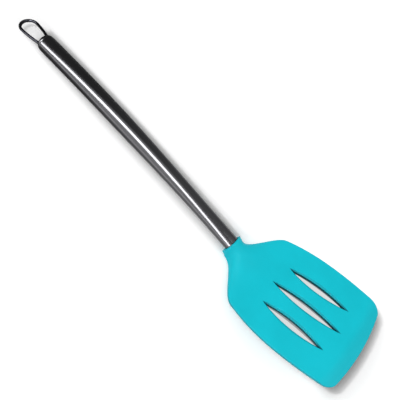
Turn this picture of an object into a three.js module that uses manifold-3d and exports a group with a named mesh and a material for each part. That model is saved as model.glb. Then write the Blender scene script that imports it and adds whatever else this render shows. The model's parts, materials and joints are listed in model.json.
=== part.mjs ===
// Slotted silicone turner on a bent stainless tube, in millimetres, +Z up.
// It lies as it does on a table: on the heel of its head and the far end of its handle.
// The head is modelled with its blade level, x forward from the collar's rim and z from
// the blade's middle plane. The handle is modelled straight and then bent along its axis.

import * as THREE from 'three';
import { mergeVertices } from 'three/addons/utils/BufferGeometryUtils.js';
import Module from 'manifold-3d';

// Clearance between neighbouring pieces, and how far a cutter runs past a face
const CLEARANCE = 0.3;
const OVERRUN = 1;

// Handle tube
const HANDLE_LENGTH = 216;
const GRIP_DIAMETER = 14.9;
const NECK_DIAMETER = 12;
const TUBE_WALL = 0.7;
const SWAGE_START = 25;
const SWAGE_LENGTH = 120;
const HANDLE_BEND = THREE.MathUtils.degToRad(8.6);

// Head, seen from above
const HEAD_LENGTH = 109;
const BLADE_WIDTH = 77.2;
const WIDEST_AT = 60.5;
const SHOULDER_AT = 28.2;
const SHOULDER_WIDTH = 68.6;
const FRONT_WIDTH = 66.4;
const FRONT_BOW = 3.4;
const FRONT_CORNER_RADIUS = 7.5;
const FLARE_START_REACH = 10.5;
const FLARE_END_REACH = 9.2;
const RIM_DIP = 0.8;

// Head, seen from the side
const BLADE_THICKNESS = 4;
const LIP_THICKNESS = 1.3;
const BEVEL_LENGTH = 6;
const EDGE_ROUND = 0.9;
const NECK_ANGLE = THREE.MathUtils.degToRad(26.8);
const NECK_FADE_AT = 36;
const COLLAR_WALL = 1.9;
const COLLAR_HEIGHT = 7.5;
const SOCKET_DEPTH = 5;
const PARTING_LAND = 0.4;
const RIDGE_START_REACH = 9;
const RIDGE_END_REACH = 14;

// Slots
const SLOT_CENTRE_AT = 66.7;
const SLOT_PITCH = 16.7;
const SLOT_WIDTH = 5.3;
const MIDDLE_SLOT_LENGTH = 51.6;
const SIDE_SLOT_LENGTH = 45;
const SLOT_CHAMFER = 0.8;
const SLOT_TIP_CHAMFER = 2.6;
const SLOT_LINING = 1.5;
const SLOT_TIP_LINING = 4;

// Nylon core under the silicone
const SKIN_THICKNESS = 0.9;
const RIM_MARGIN = 4;
const FRONT_MARGIN = 9;
const ANCHOR_DIAMETER = 4.4;
const ANCHOR_ROW_PITCH = 17;
const SHANK_LENGTH = 40;
const SHANK_ROOT = 2;
const SHANK_DIAMETER = 8.4;
const RIB_WIDTH = 1.6;

// End cap and hanging loop
const DOME_HEIGHT = 3.8;
const CAP_WALL = 1;
const SKIRT_LENGTH = 5;
const SKIRT_WALL = 0.6;
const WIRE_DIAMETER = 2.4;
const LEG_SPACING = 8.6;
const LOOP_WIDTH = 16.2;
const LOOP_REACH = 31.7;
const LEG_DEPTH = 6.2;
const FOOT_DIAMETER = 3.4;
const FOOT_HEIGHT = 1;

// Shares of the sizes that they follow
const HEEL_SHARE = 0.2;
const CORE_START_SHARE = 0.23;
const COLLAR_CROWN_SHARE = 0.5;
const RIDGE_CROWN_SHARE = 1.5;
const ROUND_SHARE = 0.35;
const BOW_FROM_SHARE = 0.5;
const ACROSS_SHARES = [1, 0.86, 0.66, 0.46, 0.3, 0.15, 0];
const CORNER_SHARES = [1, 0.5, 0.23, 0.06, 0];
const FLARE_START_SHARE = 0.05;
const FLARE_END_SHARE = 0.45;
const DOME_ROUND_SHARE = 0.5;

// Counts
const ROUND_STEPS = 3;
const NECK_RINGS = 12;
const BLADE_RINGS = 8;
const SLOT_STEPS = 12;
const ROUND_SIDES = 16;
const TUBE_SIDES = 32;
const HANDLE_STEPS = 18;
const SHANK_STEPS = 4;
const RIB_COUNT = 6;
const DOME_STEPS = 6;
const WIRE_SIDES = 10;
const WIRE_STEPS = 56;
const HALVINGS = 48;

// Sizes that follow from those above
const GRIP_RADIUS = GRIP_DIAMETER / 2;
const NECK_RADIUS = NECK_DIAMETER / 2;
const COLLAR_RADIUS = NECK_RADIUS + CLEARANCE + COLLAR_WALL;
const HALF_THICKNESS = BLADE_THICKNESS / 2;
const WIRE_RADIUS = WIRE_DIAMETER / 2;
const BEND_RADIUS = HANDLE_LENGTH / HANDLE_BEND;

const wasm = await Module();
wasm.setup();

const { lerp, smoothstep } = THREE.MathUtils;

// Solids from three.js geometry, and back
function toSolid(geometry) {
  const bare = geometry.clone();
  bare.deleteAttribute('normal');
  bare.deleteAttribute('uv');
  const merged = mergeVertices(bare);
  return new wasm.Manifold(new wasm.Mesh({
    numProp: 3,
    vertProperties: merged.attributes.position.array,
    triVerts: Uint32Array.from(merged.index.array),
  }));
}

function toGeometry(solid) {
  const mesh = solid.getMesh();
  const geometry = new THREE.BufferGeometry();
  geometry.setAttribute('position', new THREE.BufferAttribute(mesh.vertProperties, mesh.numProp));
  geometry.setIndex(new THREE.BufferAttribute(mesh.triVerts, 1));
  geometry.computeVertexNormals();
  return geometry;
}

function cutAll(solid, cutters) {
  return cutters.reduce((rest, cutter) => rest.subtract(cutter), solid);
}

// A closed skin over rings of points. Each ring runs across its upper side and back across
// its lower side, so that its two ends are closed by strips between the sides.
function loft(rings) {
  const size = rings[0].length;
  const upper = size / 2;
  const positions = rings.flat().flatMap((point) => point.toArray());
  const index = [];
  for (let ring = 0; ring < rings.length - 1; ring += 1) {
    for (let step = 0; step < size; step += 1) {
      const here = ring * size + step;
      const beside = ring * size + (step + 1) % size;
      index.push(here, beside, here + size, beside, beside + size, here + size);
    }
  }
  const last = (rings.length - 1) * size;
  for (let step = 0; step < upper - 1; step += 1) {
    const across = size - 1 - step;
    index.push(step, across, step + 1, step + 1, across, across - 1);
    index.push(last + step, last + step + 1, last + across);
    index.push(last + step + 1, last + across - 1, last + across);
  }
  const geometry = new THREE.BufferGeometry();
  geometry.setAttribute('position', new THREE.Float32BufferAttribute(positions, 3));
  geometry.setIndex(index);
  return toSolid(geometry);
}

// Side profile of the head: one rail along the top of the neck and one along its underside
const neckDown = new THREE.Vector2(Math.cos(NECK_ANGLE), -Math.sin(NECK_ANGLE));
const neckUp = new THREE.Vector2(Math.sin(NECK_ANGLE), Math.cos(NECK_ANGLE));
const rimCentre = new THREE.Vector2(0, COLLAR_HEIGHT);
const rimTop = rimCentre.clone().addScaledVector(neckUp, COLLAR_RADIUS);
const rimBottom = rimCentre.clone().addScaledVector(neckUp, -COLLAR_RADIUS);
const heelRun = (rimBottom.y + HALF_THICKNESS) / Math.sin(NECK_ANGLE);
const heel = rimBottom.clone().addScaledVector(neckDown, heelRun);
const ridgeRail = new THREE.CubicBezierCurve(
  rimTop,
  rimTop.clone().addScaledVector(neckDown, RIDGE_START_REACH),
  new THREE.Vector2(NECK_FADE_AT - RIDGE_END_REACH, HALF_THICKNESS),
  new THREE.Vector2(NECK_FADE_AT, HALF_THICKNESS),
);

function undersideRail(along) {
  if (along < HEEL_SHARE) {
    return rimBottom.clone().lerp(heel, along / HEEL_SHARE);
  }
  const root = new THREE.Vector2(NECK_FADE_AT, -HALF_THICKNESS);
  return heel.clone().lerp(root, (along - HEEL_SHARE) / (1 - HEEL_SHARE));
}

// Half the head's width at a distance from the rim: a flare, then two easy barrels
const shoulderSlope = (BLADE_WIDTH - SHOULDER_WIDTH) / (WIDEST_AT - SHOULDER_AT);
const flare = new THREE.CubicBezierCurve(
  new THREE.Vector2(0, COLLAR_RADIUS),
  new THREE.Vector2(FLARE_START_REACH, COLLAR_RADIUS - RIM_DIP),
  new THREE.Vector2(
    SHOULDER_AT - FLARE_END_REACH,
    SHOULDER_WIDTH / 2 - FLARE_END_REACH * shoulderSlope,
  ),
  new THREE.Vector2(SHOULDER_AT, SHOULDER_WIDTH / 2),
);

function flareWidth(at) {
  let low = 0;
  let high = 1;
  for (let step = 0; step < HALVINGS; step += 1) {
    const middle = (low + high) / 2;
    if (flare.getPoint(middle).x < at) {
      low = middle;
    } else {
      high = middle;
    }
  }
  return flare.getPoint(low).y;
}

function halfWidth(at) {
  if (at <= 0) {
    return COLLAR_RADIUS;
  }
  if (at < SHOULDER_AT) {
    return flareWidth(at);
  }
  const rear = at < WIDEST_AT;
  const end = rear ? SHOULDER_WIDTH : FRONT_WIDTH;
  const run = rear ? WIDEST_AT - SHOULDER_AT : HEAD_LENGTH - WIDEST_AT;
  return (BLADE_WIDTH - (BLADE_WIDTH - end) * ((at - WIDEST_AT) / run) ** 2) / 2;
}

function frontBow(across) {
  return FRONT_BOW * (across / (FRONT_WIDTH / 2)) ** 2;
}

// Places across one half of a ring, from its edge to its middle
function placesAcross(half, round) {
  const places = [];
  for (let step = 0; step < ROUND_STEPS; step += 1) {
    const turn = (step / ROUND_STEPS) * (Math.PI / 2);
    places.push({ across: half - round * (1 - Math.cos(turn)), drop: 1 - Math.sin(turn) });
  }
  ACROSS_SHARES.forEach((share) => {
    places.push({ across: (half - round) * share, drop: 0 });
  });
  return places;
}

// One ring: upper side from +y to -y, lower side back from -y to +y
function sectionRing(half, round, place) {
  const right = placesAcross(half, round);
  const left = right.slice(0, -1).reverse().map(({ across, drop }) => ({ across: -across, drop }));
  const row = [...right, ...left];
  const upper = row.map(({ across, drop }) => place(across, drop, true));
  const lower = row.map(({ across, drop }) => place(across, drop, false)).reverse();
  return [...upper, ...lower];
}

// The neck's section grows from the round collar into a flat-bottomed ridge on the blade
function neckRing(along, inset) {
  const top = ridgeRail.getPoint(along);
  const bottom = undersideRail(along);
  const centre = top.clone().add(bottom).multiplyScalar(0.5);
  const up = top.clone().sub(bottom).normalize();
  const spread = smoothstep(along, 0, HEEL_SHARE);
  const flatness = smoothstep(along, HEEL_SHARE, 1);
  const height = top.distanceTo(bottom) / 2 - inset.skin;
  const thickness = BLADE_THICKNESS - 2 * inset.skin;
  const edgeTop = lerp(PARTING_LAND / 2, thickness - height, spread);
  const edgeBottom = lerp(-PARTING_LAND / 2, -height, spread);
  const edgeAt = centre.x + up.x * (edgeTop + edgeBottom) / 2;
  const half = halfWidth(edgeAt) - lerp(inset.skin, inset.margin, flatness);
  const round = Math.min(EDGE_ROUND, ROUND_SHARE * thickness);
  const crown = lerp(COLLAR_CROWN_SHARE, RIDGE_CROWN_SHARE, flatness);
  return sectionRing(half, round, (across, drop, isUpper) => {
    const rise = 1 - (across / half) ** 2;
    const above = edgeTop + (height - edgeTop) * rise ** crown - drop * round * spread;
    const below = edgeBottom - (height + edgeBottom) * Math.sqrt(rise) + drop * round * spread;
    const offset = isUpper ? above : below;
    return new THREE.Vector3(centre.x + up.x * offset, across, centre.y + up.y * offset);
  });
}

// The blade's section is a slab whose upper face falls to the lip along the front edge
function bladeRing(at, inset) {
  const front = HEAD_LENGTH - inset.front;
  const toFront = front - at;
  const corner = Math.min(1, toFront / FRONT_CORNER_RADIUS);
  const cornerLoss = FRONT_CORNER_RADIUS * (1 - Math.sqrt(1 - (1 - corner) ** 2));
  const bowing = smoothstep(at, HEAD_LENGTH * BOW_FROM_SHARE, front - FRONT_CORNER_RADIUS);
  const half = halfWidth(at) - inset.margin - cornerLoss;
  const bevel = Math.max(0, 1 - (HEAD_LENGTH - at) / BEVEL_LENGTH);
  const bottom = inset.skin - HALF_THICKNESS;
  const top = HALF_THICKNESS - inset.skin - bevel * (BLADE_THICKNESS - LIP_THICKNESS);
  const round = Math.min(EDGE_ROUND, ROUND_SHARE * (top - bottom));
  return sectionRing(half, round, (across, drop, isUpper) => {
    const height = isUpper ? top - drop * round : bottom + drop * round;
    return new THREE.Vector3(at - frontBow(across) * bowing, across, height);
  });
}

// The whole head's form, taken in by an inset: skin through, margin at the sides, front
function headForm(inset, from) {
  const rings = [];
  for (let step = 0; step < NECK_RINGS; step += 1) {
    rings.push(neckRing(lerp(from, 1, step / NECK_RINGS), inset));
  }
  const front = HEAD_LENGTH - inset.front;
  const straight = front - FRONT_CORNER_RADIUS;
  for (let step = 0; step < BLADE_RINGS; step += 1) {
    rings.push(bladeRing(lerp(NECK_FADE_AT, straight, step / BLADE_RINGS), inset));
  }
  const places = CORNER_SHARES.map((share) => front - FRONT_CORNER_RADIUS * share);
  const bevelStart = HEAD_LENGTH - BEVEL_LENGTH;
  if (inset.front < BEVEL_LENGTH) {
    places.push(bevelStart);
  }
  places.sort((one, other) => one - other);
  places.forEach((at) => rings.push(bladeRing(at, inset)));
  return loft(rings);
}

// A pointed slot outline of two equal arcs, as a ring at one height
function lensRing(length, width, height, centre) {
  const points = [];
  for (let step = 0; step < 2 * SLOT_STEPS; step += 1) {
    const isUpper = step < SLOT_STEPS;
    const along = 1 - 2 * ((step % SLOT_STEPS) / SLOT_STEPS);
    const side = isUpper ? 1 : -1;
    points.push(new THREE.Vector3(
      centre.x + side * along * length / 2,
      centre.y + side * (1 - along ** 2) * width / 2,
      height,
    ));
  }
  return points;
}

function lensCutter(levels, centre) {
  const rings = levels.map(({ length, width, height }) => lensRing(length, width, height, centre));
  const size = rings[0].length;
  const middle = new THREE.Vector3(centre.x, centre.y, levels[0].height);
  const points = [...rings.flat(), middle, middle.clone().setZ(levels.at(-1).height)];
  const index = [];
  for (let level = 0; level < rings.length - 1; level += 1) {
    for (let step = 0; step < size; step += 1) {
      const here = level * size + step;
      const beside = level * size + (step + 1) % size;
      index.push(here, beside, beside + size, here, beside + size, here + size);
    }
  }
  const last = (rings.length - 1) * size;
  for (let step = 0; step < size; step += 1) {
    const beside = (step + 1) % size;
    index.push(beside, step, points.length - 2);
    index.push(last + step, last + beside, points.length - 1);
  }
  const geometry = new THREE.BufferGeometry().setFromPoints(points);
  geometry.setIndex(index);
  return toSolid(geometry);
}

const slots = [-1, 0, 1].map((side) => ({
  centre: new THREE.Vector2(SLOT_CENTRE_AT, side * SLOT_PITCH),
  length: side === 0 ? MIDDLE_SLOT_LENGTH : SIDE_SLOT_LENGTH,
}));

// What a slot's silicone lining fills, grown by a margin, right through the blade
function liningPrism(slot, margin) {
  const length = slot.length + 2 * SLOT_TIP_LINING;
  const width = SLOT_WIDTH + 2 * SLOT_LINING;
  const grown = { length: length * (1 + margin / width), width: width + 2 * margin };
  const height = HALF_THICKNESS + OVERRUN;
  return lensCutter([{ ...grown, height: -height }, { ...grown, height }], slot.centre);
}

// The slot as it is cut in the silicone, with a chamfer that runs out past its tips
function slotCutter(slot) {
  const wide = { length: slot.length + 2 * SLOT_TIP_CHAMFER, width: SLOT_WIDTH + 2 * SLOT_CHAMFER };
  const plain = { length: slot.length, width: SLOT_WIDTH };
  const inner = HALF_THICKNESS - SLOT_CHAMFER;
  const outer = HALF_THICKNESS + OVERRUN;
  return lensCutter([
    { ...wide, height: -outer },
    { ...wide, height: -HALF_THICKNESS },
    { ...plain, height: -inner },
    { ...plain, height: inner },
    { ...wide, height: HALF_THICKNESS },
    { ...wide, height: outer },
  ], slot.centre);
}

// Places where silicone runs through the core and locks on to it
const anchorPlaces = [-1, 0, 1].flatMap((row) => [-1, 1].flatMap((side) => {
  const at = SLOT_CENTRE_AT + row * ANCHOR_ROW_PITCH;
  const lining = SLOT_PITCH + SLOT_WIDTH / 2 + SLOT_LINING;
  const outer = (lining + halfWidth(at) - RIM_MARGIN) / 2;
  return [outer, SLOT_PITCH / 2].map((across) => new THREE.Vector2(at, side * across));
}));

function anchor(place, radius) {
  const height = BLADE_THICKNESS + 2 * OVERRUN;
  const pin = new THREE.CylinderGeometry(radius, radius, height, ROUND_SIDES);
  pin.rotateX(Math.PI / 2);
  pin.translate(place.x, place.y, 0);
  return toSolid(pin);
}

// Bends a straight piece, modelled along +Z from the collar's rim, along the handle's axis
function bendAlongHandle(geometry) {
  const position = geometry.attributes.position;
  for (let vertex = 0; vertex < position.count; vertex += 1) {
    const along = position.getZ(vertex);
    const onArc = Math.min(Math.max(along, 0), HANDLE_LENGTH);
    const slope = NECK_ANGLE - onArc / BEND_RADIUS;
    const past = along - onArc;
    const off = position.getY(vertex);
    const arcBack = BEND_RADIUS * (Math.sin(NECK_ANGLE) - Math.sin(slope));
    const arcUp = BEND_RADIUS * (Math.cos(slope) - Math.cos(NECK_ANGLE));
    position.setXYZ(
      vertex,
      -arcBack - past * Math.cos(slope) + off * Math.sin(slope),
      -position.getX(vertex),
      COLLAR_HEIGHT + arcUp + past * Math.sin(slope) + off * Math.cos(slope),
    );
  }
  return geometry;
}

// A turned piece: a closed profile of radius and distance along the handle
function turned(profile, sides) {
  const points = profile.map(([radius, along]) => new THREE.Vector2(radius, along));
  const geometry = new THREE.LatheGeometry([...points, points[0]], sides);
  geometry.rotateX(Math.PI / 2);
  return geometry;
}

function tubeRadius(along) {
  const swage = smoothstep(along, SWAGE_START, SWAGE_START + SWAGE_LENGTH);
  return lerp(NECK_RADIUS, GRIP_RADIUS, swage);
}

function makeSiliconeHead() {
  const hollow = { skin: SKIN_THICKNESS, margin: RIM_MARGIN, front: FRONT_MARGIN };
  const socketRadius = NECK_RADIUS + CLEARANCE;
  const shankBore = NECK_RADIUS - TUBE_WALL;
  const boreDepth = SOCKET_DEPTH + SHANK_ROOT + CLEARANCE;
  const socket = bendAlongHandle(turned([
    [0, -boreDepth],
    [shankBore, -boreDepth],
    [shankBore, -SOCKET_DEPTH],
    [socketRadius, -SOCKET_DEPTH],
    [socketRadius, OVERRUN],
    [0, OVERRUN],
  ], TUBE_SIDES));
  const kept = [
    ...slots.map((slot) => liningPrism(slot, 0)),
    ...anchorPlaces.map((place) => anchor(place, ANCHOR_DIAMETER / 2)),
  ];
  const cavity = cutAll(headForm(hollow, HEEL_SHARE), kept);
  const outer = headForm({ skin: 0, margin: 0, front: 0 }, 0);
  return toGeometry(cutAll(outer, [cavity, toSolid(socket), ...slots.map(slotCutter)]));
}

// Outline of the shank: a round bar with crush ribs that reach the tube's wall
function ribbedOutline(ribRadius) {
  const shape = new THREE.Shape();
  const root = SHANK_DIAMETER / 2;
  for (let rib = 0; rib < RIB_COUNT; rib += 1) {
    const middle = (rib / RIB_COUNT) * 2 * Math.PI;
    const rootTurn = Math.asin(RIB_WIDTH / 2 / root);
    const tipTurn = Math.asin(RIB_WIDTH / 2 / ribRadius);
    const corners = [[root, -rootTurn], [ribRadius, -tipTurn], [ribRadius, tipTurn], [root, rootTurn]];
    corners.forEach(([radius, turn], corner) => {
      const x = radius * Math.cos(middle + turn);
      const y = radius * Math.sin(middle + turn);
      if (rib + corner === 0) {
        shape.moveTo(x, y);
      } else {
        shape.lineTo(x, y);
      }
    });
  }
  return shape;
}

function makeNylonCore() {
  const inset = {
    skin: SKIN_THICKNESS + CLEARANCE,
    margin: RIM_MARGIN + CLEARANCE,
    front: FRONT_MARGIN + CLEARANCE,
  };
  const openings = [
    ...slots.map((slot) => liningPrism(slot, CLEARANCE)),
    ...anchorPlaces.map((place) => anchor(place, ANCHOR_DIAMETER / 2 + CLEARANCE)),
  ];
  const plate = cutAll(headForm(inset, CORE_START_SHARE), openings);
  const ribRadius = NECK_RADIUS - TUBE_WALL - CLEARANCE;
  const rootDepth = SOCKET_DEPTH + SHANK_ROOT;
  const bar = new THREE.ExtrudeGeometry(ribbedOutline(ribRadius), {
    depth: rootDepth + SHANK_LENGTH,
    steps: SHANK_STEPS,
    bevelEnabled: false,
  });
  bar.translate(0, 0, -rootDepth);
  const shank = toSolid(bendAlongHandle(bar));
  return toGeometry(plate.add(shank));
}

function makeHandleTube() {
  const outer = [];
  for (let step = 0; step <= HANDLE_STEPS; step += 1) {
    const along = lerp(CLEARANCE - SOCKET_DEPTH, HANDLE_LENGTH, step / HANDLE_STEPS);
    outer.push([tubeRadius(along), along]);
  }
  const inner = outer.map(([radius, along]) => [radius - TUBE_WALL, along]).reverse();
  return bendAlongHandle(turned([...outer, ...inner], TUBE_SIDES));
}

// Heights of the cap's dome over the tube's end, for a radius, outside and inside
function domeHeight(radius, wall) {
  const share = radius / (GRIP_RADIUS - wall);
  const power = 2 / DOME_ROUND_SHARE;
  return (DOME_HEIGHT - wall) * Math.max(0, 1 - share ** power) ** (1 / power);
}

function makeEndCap() {
  const base = HANDLE_LENGTH + CLEARANCE;
  const skirtRadius = GRIP_RADIUS - TUBE_WALL - CLEARANCE;
  const bore = skirtRadius - SKIRT_WALL;
  const profile = [];
  for (let step = 0; step <= DOME_STEPS; step += 1) {
    const turn = (step / DOME_STEPS) * (Math.PI / 2);
    const radius = GRIP_RADIUS * Math.sin(turn) ** DOME_ROUND_SHARE;
    profile.push([radius, base + domeHeight(radius, 0)]);
  }
  profile.push([skirtRadius, base]);
  profile.push([skirtRadius, base - SKIRT_LENGTH]);
  profile.push([bore, base - SKIRT_LENGTH]);
  for (let step = DOME_STEPS - 1; step >= 0; step -= 1) {
    const radius = bore * Math.sin((step / DOME_STEPS) * (Math.PI / 2));
    profile.push([radius, base + domeHeight(radius, CAP_WALL)]);
  }
  const legHoles = [-1, 1].map((side) => {
    const radius = WIRE_RADIUS + CLEARANCE;
    const hole = new THREE.CylinderGeometry(radius, radius, 2 * SKIRT_LENGTH, WIRE_SIDES);
    hole.rotateX(Math.PI / 2);
    hole.translate(side * LEG_SPACING / 2, 0, base + DOME_HEIGHT);
    return toSolid(bendAlongHandle(hole));
  });
  const shell = toSolid(bendAlongHandle(turned(profile.reverse(), TUBE_SIDES)));
  return toGeometry(cutAll(shell, legHoles));
}

// The loop's centreline: up one leg, out to a round end and back down the other leg
function loopPath() {
  const half = (LOOP_WIDTH - WIRE_DIAMETER) / 2;
  const leg = LEG_SPACING / 2;
  const round = LOOP_REACH - WIRE_RADIUS - half;
  const flareStart = lerp(DOME_HEIGHT, round, FLARE_START_SHARE);
  const flareEnd = lerp(round, DOME_HEIGHT, FLARE_END_SHARE);
  const path = new THREE.Path();
  path.moveTo(leg, -LEG_DEPTH);
  path.lineTo(leg, DOME_HEIGHT);
  path.bezierCurveTo(leg, flareStart, half, flareEnd, half, round);
  path.absarc(0, round, half, 0, Math.PI);
  path.bezierCurveTo(-half, flareEnd, -leg, flareStart, -leg, DOME_HEIGHT);
  path.lineTo(-leg, -LEG_DEPTH);
  const spaced = path.getSpacedPoints(WIRE_STEPS);
  const route = spaced.map(({ x, y }) => new THREE.Vector3(x, 0, HANDLE_LENGTH + CLEARANCE + y));
  return new THREE.CatmullRomCurve3(route);
}

function makeHangingLoop() {
  const section = new THREE.Shape().absarc(0, 0, WIRE_RADIUS, 0, 2 * Math.PI);
  const wire = new THREE.ExtrudeGeometry(section, {
    extrudePath: loopPath(),
    steps: WIRE_STEPS,
    curveSegments: WIRE_SIDES / 2,
  });
  const feet = [-1, 1].map((side) => {
    const radius = FOOT_DIAMETER / 2;
    const foot = new THREE.CylinderGeometry(radius, radius, FOOT_HEIGHT, WIRE_SIDES);
    foot.rotateX(Math.PI / 2);
    foot.translate(side * LEG_SPACING / 2, 0, HANDLE_LENGTH + CLEARANCE - LEG_DEPTH);
    return toSolid(bendAlongHandle(foot));
  });
  const loop = toSolid(bendAlongHandle(wire));
  return toGeometry(feet.reduce((joined, foot) => joined.add(foot), loop));
}

const finishes = {
  silicone: { color: 0x18bed0, roughness: 0.5, metalness: 0 },
  nylon: { color: 0x2b2b2e, roughness: 0.6, metalness: 0 },
  steel: { color: 0xb9babd, roughness: 0.28, metalness: 1 },
};

const turner = new THREE.Group();

function addPiece(name, geometry, finish) {
  const mesh = new THREE.Mesh(geometry, new THREE.MeshStandardMaterial(finishes[finish]));
  mesh.name = name;
  turner.add(mesh);
  return mesh;
}

const head = addPiece('silicone_head', makeSiliconeHead(), 'silicone');
addPiece('nylon_core', makeNylonCore(), 'nylon');
const tube = addPiece('handle_tube', makeHandleTube(), 'steel');
const cap = addPiece('end_cap', makeEndCap(), 'steel');
const loop = addPiece('hanging_loop', makeHangingLoop(), 'steel');

// Height of a piece's lowest point once the turner's nose is tipped up by an angle
function lowest(pieces, tilt) {
  let low = Infinity;
  pieces.forEach(({ geometry }) => {
    const { position } = geometry.attributes;
    for (let vertex = 0; vertex < position.count; vertex += 1) {
      const height = position.getX(vertex) * Math.sin(tilt) + position.getZ(vertex) * Math.cos(tilt);
      low = Math.min(low, height);
    }
  });
  return low;
}

// The tilt at which the head's heel and the far end of the handle touch the table together
function restTilt() {
  let low = 0;
  let high = Math.PI / 4;
  for (let step = 0; step < HALVINGS; step += 1) {
    const middle = (low + high) / 2;
    if (lowest([head], middle) < lowest([tube, cap, loop], middle)) {
      low = middle;
    } else {
      high = middle;
    }
  }
  return low;
}

turner.rotation.y = -restTilt();
turner.updateMatrixWorld(true);
const bounds = new THREE.Box3().setFromObject(turner, true);
turner.position.set(-(bounds.min.x + bounds.max.x) / 2, 0, -bounds.min.z);
turner.updateMatrixWorld(true);

export default turner;
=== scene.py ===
import json
import math

import bmesh
import bpy
from bpy.props import FloatProperty, FloatVectorProperty, PointerProperty
from mathutils import Matrix, Vector


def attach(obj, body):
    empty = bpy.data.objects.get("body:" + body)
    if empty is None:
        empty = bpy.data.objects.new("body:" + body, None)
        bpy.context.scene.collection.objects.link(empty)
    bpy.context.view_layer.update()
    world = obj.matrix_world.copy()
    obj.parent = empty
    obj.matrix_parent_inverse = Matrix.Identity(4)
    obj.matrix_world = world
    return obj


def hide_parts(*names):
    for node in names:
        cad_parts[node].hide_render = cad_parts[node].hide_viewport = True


bl_info = {
    "name": "Slotted Turner",
    "version": (1, 0, 0),
    "blender": (4, 5, 0),
    "location": "View3D > Sidebar > Turner",
    "description": "Models and finishes a slotted silicone turner with a steel tube handle",
    "category": "Object",
}

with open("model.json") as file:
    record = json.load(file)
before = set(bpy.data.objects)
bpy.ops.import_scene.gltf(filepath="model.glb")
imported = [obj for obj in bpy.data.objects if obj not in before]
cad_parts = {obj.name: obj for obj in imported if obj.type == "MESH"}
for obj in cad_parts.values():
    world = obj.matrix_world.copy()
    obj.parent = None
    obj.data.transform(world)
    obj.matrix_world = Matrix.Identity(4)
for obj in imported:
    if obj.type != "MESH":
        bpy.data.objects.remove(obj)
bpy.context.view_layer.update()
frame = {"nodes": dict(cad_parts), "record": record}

MM = 0.001

# Face corner attribute of painted shade, which darkens the silicone in its slots, along the blade's sides
# and along its bevel
PAINTED_SHADE = "shade"

# Where the blade's upper face carries the record's mount, in the head's own frame
BLADE_MOUNT = "blade_top"
MOUNT_PLACE = Vector((66.7, 8.35, 2.0)) * MM


def length(name, value, description):
    """A length in millimetres, kept in metres"""
    return FloatProperty(
        name=name, description=description, default=value * MM, min=0.0, precision=5,
        subtype="DISTANCE", unit="LENGTH",
    )


def turn(name, value, description):
    """An angle in degrees, kept in radians"""
    return FloatProperty(
        name=name, description=description, default=math.radians(value), subtype="ANGLE", unit="ROTATION"
    )


def tint(name, value, description):
    return FloatVectorProperty(
        name=name, description=description, default=value, min=0.0, max=1.0, size=3, subtype="COLOR"
    )


def share(name, value, description, top=1.0):
    return FloatProperty(
        name=name, description=description, default=value, min=0.0, max=top, subtype="FACTOR"
    )


class HeadSizes(bpy.types.PropertyGroup):
    """Sizes of the silicone head"""

    head_length: length("Length", 109.0, "From the collar's rim to the front edge")
    width: length("Width", 76.4, "Across the blade at its widest")
    widest_at: length("Widest at", 60.5, "From the rim to the widest place")
    shoulder_at: length("Shoulder at", 28.2, "From the rim to the end of the flare")
    shoulder_width: length("Shoulder width", 68.6, "Across the blade at the end of the flare")
    front_width: length("Front width", 67.8, "Across the blade at its front edge")
    front_bow: length("Front bow", 3.4, "How far the front edge bows out")
    corner_radius: length("Corner radius", 5.8, "Radius of the front corners")
    flare_start: length("Flare start", 10.5, "Reach of the flare's first handle")
    flare_end: length("Flare end", 9.2, "Reach of the flare's second handle")
    rim_dip: length("Rim dip", 0.8, "How far the neck draws in behind the rim")
    thickness: length("Thickness", 4.0, "Thickness of the blade")
    lip: length("Lip", 1.3, "Thickness of the front edge")
    bevel: length("Bevel", 8.5, "Length of the slope to the front edge")
    edge_round: length("Edge round", 0.9, "Rounding along the blade's sides")
    neck_angle: turn("Neck angle", 26.8, "Angle of the neck over the blade")
    neck_fade: length("Neck fade", 36.0, "From the rim to where the ridge has run out")
    collar_wall: length("Collar wall", 1.9, "Wall of the collar round the tube")
    collar_height: length("Collar height", 7.5, "Height of the rim's centre over the blade")
    socket_depth: length("Socket depth", 5.0, "How deep the tube stands in the collar")
    parting_land: length("Parting land", 0.4, "Flat on each side of the collar")
    ridge_start: length("Ridge start", 9.0, "Reach of the ridge's first handle")
    ridge_end: length("Ridge end", 14.0, "Reach of the ridge's second handle")
    slot_at: length("Slot at", 66.7, "From the rim to the slots' centres")
    slot_pitch: length("Slot pitch", 16.7, "Between the slots' centres")
    slot_width: length("Slot width", 5.4, "Across a slot at its middle")
    slot_shift: length("Slot shift", 0.9, "How far the slots stand off the middle to the right")
    middle_slot: length("Middle slot", 50.8, "Length of the middle slot")
    side_slot: length("Side slot", 44.2, "Length of each side slot")
    chamfer: length("Chamfer", 0.8, "Depth of the chamfer round the slots")
    chamfer_width: length("Chamfer width", 1.4, "Width of that chamfer on the upper side")
    under_chamfer: length("Under chamfer", 0.2, "Chamfer round the slots on the lower side")
    tip_chamfer: length("Tip chamfer", 1.7, "How far the chamfer runs out past each tip")


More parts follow.
